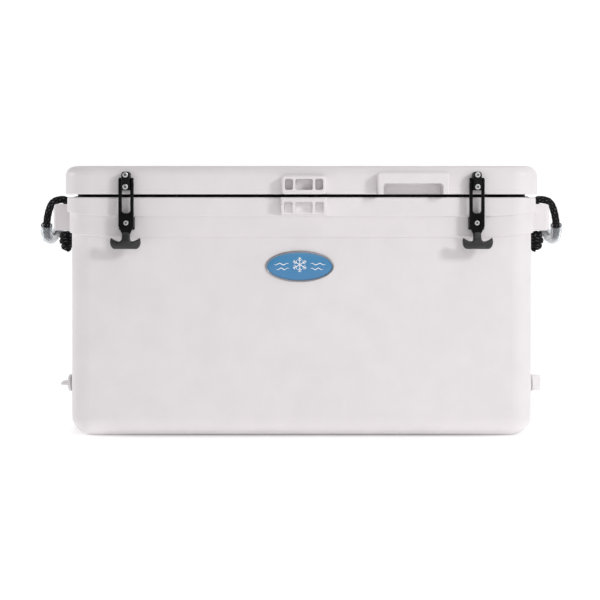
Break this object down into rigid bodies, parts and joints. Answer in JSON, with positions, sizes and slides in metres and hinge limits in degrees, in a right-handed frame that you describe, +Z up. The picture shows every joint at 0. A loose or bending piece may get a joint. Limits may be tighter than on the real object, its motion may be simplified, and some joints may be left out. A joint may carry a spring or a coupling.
{
  "type": "ice chest",
  "caption": "Large rotomoulded ice chest with a rear-hinged lid, rubber T-latches, rope handles with grips, padlock lugs and a screw-out drain plug at each end.",
  "frame": {"origin": "on the floor, at the middle of the tub's footprint", "axes": "+X along the length to the right as seen from the front, -Y towards the front with the latches, +Z up"},
  "size_m": [0.94, 0.4565, 0.457],
  "materials": {
    "white_polyethylene": "satin",
    "insulating_foam": "matte",
    "black_rubber": "satin",
    "black_nylon": "satin",
    "stainless_steel": "satin",
    "black_rope": "matte",
    "clear_vinyl": "gloss",
    "white_nylon": "satin",
    "silver_trim": "satin",
    "blue_badge": "gloss"
  },
  "bodies": {
    "tub": {"tub_shell": "white_polyethylene", "tub_foam": "insulating_foam", "foam_filling_plugs": "white_polyethylene", "drain_sleeve_left": "white_polyethylene", "drain_sleeve_right": "white_polyethylene", "badge_rim": "silver_trim", "badge_face": "blue_badge", "latch_keeper_left": "black_nylon", "latch_keeper_right": "black_nylon", "keeper_screws": "stainless_steel", "hinge_lower_left": "black_nylon", "hinge_lower_right": "black_nylon", "hinge_pins": "stainless_steel", "hinge_screws_lower": "stainless_steel", "rope_ends_left": "black_rope", "rope_ends_right": "black_rope"},
    "lid": {"lid_shell": "white_polyethylene", "lid_foam": "insulating_foam", "lid_gasket": "black_rubber", "latch_anchor_left": "black_nylon", "latch_anchor_right": "black_nylon", "anchor_screws": "stainless_steel", "latch_pins": "stainless_steel", "hinge_upper_left": "black_nylon", "hinge_upper_right": "black_nylon", "hinge_screws_upper": "stainless_steel"},
    "latch_left": {"latch_strap_left": "black_rubber"},
    "handle_left": {"handle_rope_left": "black_rope", "handle_grip_left": "clear_vinyl"},
    "drain_seal_body_left": {"drain_seal_left": "black_rubber"},
    "drain_plug_body_left": {"drain_plug_left": "white_nylon"},
    "latch_right": {"latch_strap_right": "black_rubber"},
    "handle_right": {"handle_rope_right": "black_rope", "handle_grip_right": "clear_vinyl"},
    "drain_seal_body_right": {"drain_seal_right": "black_rubber"},
    "drain_plug_body_right": {"drain_plug_right": "white_nylon"}
  },
  "joints": [
    {"name": "lid_hinge", "type": "hinge", "parent": "tub", "child": "lid", "pos_m": [0, 0.215, 0.4065], "axis": [-1, 0, 0], "range_deg": [0, 105]},
    {"name": "latch_swing_left", "type": "hinge", "parent": "lid", "child": "latch_left", "pos_m": [-0.2915, -0.214, 0.4305], "axis": [-1, 0, 0], "range_deg": [0, 160]},
    {"name": "handle_swing_left", "type": "hinge", "parent": "tub", "child": "handle_left", "pos_m": [-0.413, 0, 0.3983], "axis": [0, 1, 0], "range_deg": [0, 100]},
    {"name": "drain_draw_left", "type": "slide", "parent": "tub", "child": "drain_seal_body_left", "axis": [-1, 0, 0], "range_m": [0, 0.012]},
    {"name": "drain_turn_left", "type": "hinge", "parent": "drain_seal_body_left", "child": "drain_plug_body_left", "pos_m": [-0.4, -0.11, 0.08], "axis": [-1, 0, 0], "range_deg": [0, 1440]},
    {"name": "latch_swing_right", "type": "hinge", "parent": "lid", "child": "latch_right", "pos_m": [0.2915, -0.214, 0.4305], "axis": [-1, 0, 0], "range_deg": [0, 160]},
    {"name": "handle_swing_right", "type": "hinge", "parent": "tub", "child": "handle_right", "pos_m": [0.413, 0, 0.3983], "axis": [0, -1, 0], "range_deg": [0, 100]},
    {"name": "drain_draw_right", "type": "slide", "parent": "tub", "child": "drain_seal_body_right", "axis": [1, 0, 0], "range_m": [0, 0.012]},
    {"name": "drain_turn_right", "type": "hinge", "parent": "drain_seal_body_right", "child": "drain_plug_body_right", "pos_m": [0.4, -0.11, 0.08], "axis": [1, 0, 0], "range_deg": [0, 1440]}
  ],
  "couplings": [
    {"joint": "drain_turn_left", "follows": "drain_draw_left", "rad_per_m": 2094.4},
    {"joint": "drain_turn_right", "follows": "drain_draw_right", "rad_per_m": 2094.4}
  ]
}
